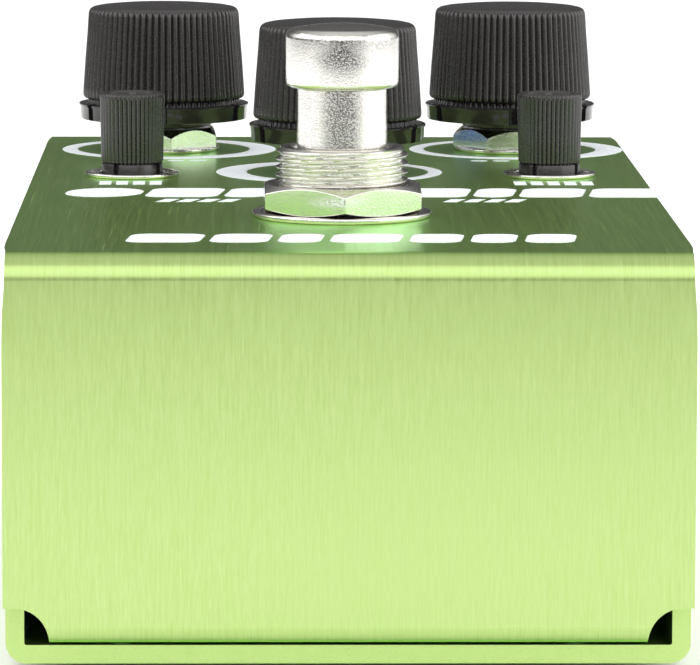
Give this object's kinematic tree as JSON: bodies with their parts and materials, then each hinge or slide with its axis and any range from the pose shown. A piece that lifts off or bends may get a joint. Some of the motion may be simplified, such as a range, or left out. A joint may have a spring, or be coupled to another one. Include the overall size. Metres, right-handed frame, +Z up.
{
  "type": "guitar effects pedal",
  "caption": "Compact floor pedal in a folded sheet-metal case with a plunger footswitch, fluted rotary knobs, small fluted controls, side phone jacks and a rear power socket.",
  "frame": {"origin": "centre of the bounding box at the bottom of the rubber feet", "axes": "+Z up out of the panel, -Y the footswitch end, +X the player's right"},
  "size_m": [0.0656, 0.1116, 0.0542],
  "materials": {
    "green_case": "fine vertical brushed grain, clear green anodising",
    "nickel": "bright nickel plate",
    "zinc_steel": "zinc plated",
    "knob_black": "satin moulded",
    "black_plastic": "satin moulded",
    "phenolic": "matt",
    "circuit_board": "solder mask",
    "rubber": "matt",
    "lamp_lens": "clear tinted",
    "battery_case": "semi gloss",
    "foam": "open cell",
    "lead_black": "pvc",
    "ribbon_grey": "pvc"
  },
  "bodies": {
    "case": {"top_shell": "green_case", "base_chassis": "green_case", "base_screw_1": "zinc_steel", "base_screw_2": "zinc_steel", "base_screw_3": "zinc_steel", "base_screw_4": "zinc_steel", "clinch_nut_1": "zinc_steel", "clinch_nut_2": "zinc_steel", "clinch_nut_3": "zinc_steel", "clinch_nut_4": "zinc_steel", "rubber_foot_1": "rubber", "rubber_foot_2": "rubber", "rubber_foot_3": "rubber", "rubber_foot_4": "rubber", "switch_bushing": "nickel", "switch_top_nut": "nickel", "switch_washer": "nickel", "switch_under_nut": "zinc_steel", "switch_spring": "zinc_steel", "switch_housing": "phenolic", "switch_terminal_board": "circuit_board", "pot_body_left": "zinc_steel", "pot_body_middle": "zinc_steel", "pot_body_right": "zinc_steel", "pot_nut_left": "nickel", "pot_nut_middle": "nickel", "pot_nut_right": "nickel", "pot_washer_left": "nickel", "pot_washer_middle": "nickel", "pot_washer_right": "nickel", "mini_pot_left": "black_plastic", "mini_pot_right": "black_plastic", "main_board": "circuit_board", "led_lens": "lamp_lens", "mini_washer_left": "nickel", "mini_washer_right": "nickel", "input_jack_body": "black_plastic", "output_jack_body": "black_plastic", "input_jack_nut": "nickel", "output_jack_nut": "nickel", "input_jack_washer": "nickel", "output_jack_washer": "nickel", "dc_jack_body": "black_plastic", "dc_jack_pin": "nickel", "battery": "battery_case", "battery_snap": "black_plastic", "battery_foam": "foam", "battery_lead": "lead_black", "switch_ribbon": "ribbon_grey", "input_lead": "lead_black", "output_lead": "lead_black"},
    "plunger": {"switch_plunger": "nickel"},
    "left_control": {"knob_left": "knob_black", "pot_shaft_left": "zinc_steel"},
    "middle_control": {"knob_middle": "knob_black", "pot_shaft_middle": "zinc_steel"},
    "right_control": {"knob_right": "knob_black", "pot_shaft_right": "zinc_steel"},
    "left_mini_control": {"mini_knob_left": "knob_black"},
    "right_mini_control": {"mini_knob_right": "knob_black"}
  },
  "joints": [
    {"name": "footswitch_press", "type": "slide", "parent": "case", "child": "plunger", "axis": [0, 0, -1], "range_m": [0, 0.003], "stiffness_N_per_m": 1200, "springref_m": -0.002, "deforming": ["switch_spring"]},
    {"name": "left_knob_turn", "type": "hinge", "parent": "case", "child": "left_control", "pos_m": [-0.0173, 0.0397, 0.0448], "axis": [0, 0, -1], "range_deg": [-150, 150]},
    {"name": "middle_knob_turn", "type": "hinge", "parent": "case", "child": "middle_control", "pos_m": [0, 0.0158, 0.0448], "axis": [0, 0, -1], "range_deg": [-150, 150]},
    {"name": "right_knob_turn", "type": "hinge", "parent": "case", "child": "right_control", "pos_m": [0.0179, 0.0397, 0.0448], "axis": [0, 0, -1], "range_deg": [-150, 150]},
    {"name": "left_mini_turn", "type": "hinge", "parent": "case", "child": "left_mini_control", "pos_m": [-0.0199, 0.0125, 0.0408], "axis": [0, 0, -1], "range_deg": [-140, 140]},
    {"name": "right_mini_turn", "type": "hinge", "parent": "case", "child": "right_mini_control", "pos_m": [0.0205, 0.0125, 0.0408], "axis": [0, 0, -1], "range_deg": [-140, 140]}
  ]
}
